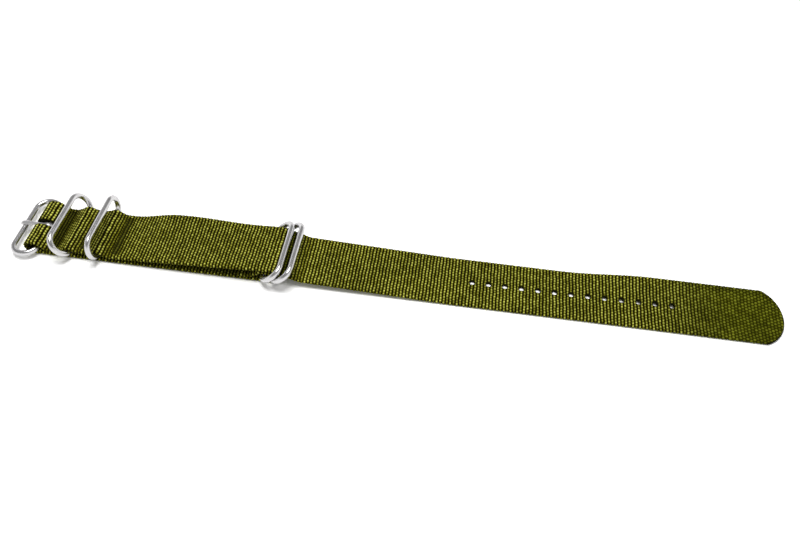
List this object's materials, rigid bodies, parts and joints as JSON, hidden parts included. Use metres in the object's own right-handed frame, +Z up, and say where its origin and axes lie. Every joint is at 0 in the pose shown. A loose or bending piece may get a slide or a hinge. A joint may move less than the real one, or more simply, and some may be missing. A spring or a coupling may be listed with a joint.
{
  "type": "nylon watch strap",
  "caption": "Ribbed nylon webbing watch strap with a round-wire buckle and tongue, keeper rings, an under-strap with loop rings, and a punched free end with a rounded tip.",
  "frame": {"origin": "on the table that the strap lies on, under the middle of its whole length and width", "axes": "+X along the strap from the buckle towards the tip, +Y across its width, +Z up from the table; the outer face of the strap is up"},
  "size_m": [0.2826, 0.029, 0.0125],
  "materials": {
    "nylon_webbing": "ribbed olive green nylon, slight sheen on the rib crests",
    "fused_nylon": "nylon fused under a weld bar, smooth and darker",
    "steel_wire": "satin-polished stainless steel wire",
    "steel_tongue": "polished stainless steel"
  },
  "bodies": {
    "strap": {"main_strap_seat": "nylon_webbing", "under_strap": "nylon_webbing", "weld_buckle_fold": "fused_nylon", "weld_mid_keepers": "fused_nylon", "weld_watch_side": "fused_nylon", "weld_loop_fold": "fused_nylon"},
    "buckle": {"buckle_frame": "steel_wire"},
    "tongue": {"buckle_tongue": "steel_tongue"},
    "keeper_1": {"keeper_ring_1": "steel_wire"},
    "keeper_2": {"keeper_ring_2": "steel_wire"},
    "loop_1": {"loop_ring_1": "steel_wire"},
    "loop_2": {"loop_ring_2": "steel_wire"},
    "tail_1": {"main_strap_tail_1": "nylon_webbing"},
    "tail_2": {"main_strap_tail_2": "nylon_webbing"},
    "tail_3": {"main_strap_tail_3": "nylon_webbing"},
    "tail_4": {"main_strap_tail_4": "nylon_webbing"},
    "tail_5": {"main_strap_tail_5": "nylon_webbing"}
  },
  "joints": [
    {"name": "buckle_swing", "type": "hinge", "parent": "strap", "child": "buckle", "pos_m": [-0.13051, 0, 0.00265], "axis": [0, 1, 0], "range_deg": [-27, 38]},
    {"name": "tongue_swing", "type": "hinge", "parent": "buckle", "child": "tongue", "pos_m": [-0.13051, 0, 0.00265], "axis": [0, 1, 0], "range_deg": [0, 60]},
    {"name": "keeper_1_swing", "type": "hinge", "parent": "strap", "child": "keeper_1", "pos_m": [-0.11811, 0, 0.00265], "axis": [0, 1, 0], "range_deg": [-37, 58]},
    {"name": "keeper_2_swing", "type": "hinge", "parent": "strap", "child": "keeper_2", "pos_m": [-0.10761, 0, 0.00265], "axis": [0, 1, 0], "range_deg": [-21, 80]},
    {"name": "loop_1_swing", "type": "hinge", "parent": "strap", "child": "loop_1", "pos_m": [-0.04581, 0, 0.00265], "axis": [0, 1, 0], "range_deg": [-98, 1]},
    {"name": "loop_2_swing", "type": "hinge", "parent": "strap", "child": "loop_2", "pos_m": [-0.042, 0, 0.00265], "axis": [0, 1, 0], "range_deg": [-98, 1]},
    {"name": "tail_flex_1", "type": "hinge", "parent": "strap", "child": "tail_1", "pos_m": [-0.00921, 0, 0.00179], "axis": [0, -1, 0], "range_deg": [-48, 48]},
    {"name": "tail_flex_2", "type": "hinge", "parent": "tail_1", "child": "tail_2", "pos_m": [0.02079, 0, 0.0007], "axis": [0, -1, 0], "range_deg": [-48, 48]},
    {"name": "tail_flex_3", "type": "hinge", "parent": "tail_2", "child": "tail_3", "pos_m": [0.05079, 0, 0.0007], "axis": [0, -1, 0], "range_deg": [-48, 48]},
    {"name": "tail_flex_4", "type": "hinge", "parent": "tail_3", "child": "tail_4", "pos_m": [0.08079, 0, 0.0007], "axis": [0, -1, 0], "range_deg": [-48, 48]},
    {"name": "tail_flex_5", "type": "hinge", "parent": "tail_4", "child": "tail_5", "pos_m": [0.11079, 0, 0.0007], "axis": [0, -1, 0], "range_deg": [-48, 48]}
  ],
  "couplings": [
    {"joint": "loop_2_swing", "follows": "loop_1_swing", "ratio": 1},
    {"joint": "tail_flex_2", "follows": "tail_flex_1", "ratio": 1},
    {"joint": "tail_flex_3", "follows": "tail_flex_1", "ratio": 1},
    {"joint": "tail_flex_4", "follows": "tail_flex_1", "ratio": 1},
    {"joint": "tail_flex_5", "follows": "tail_flex_1", "ratio": 1}
  ]
}
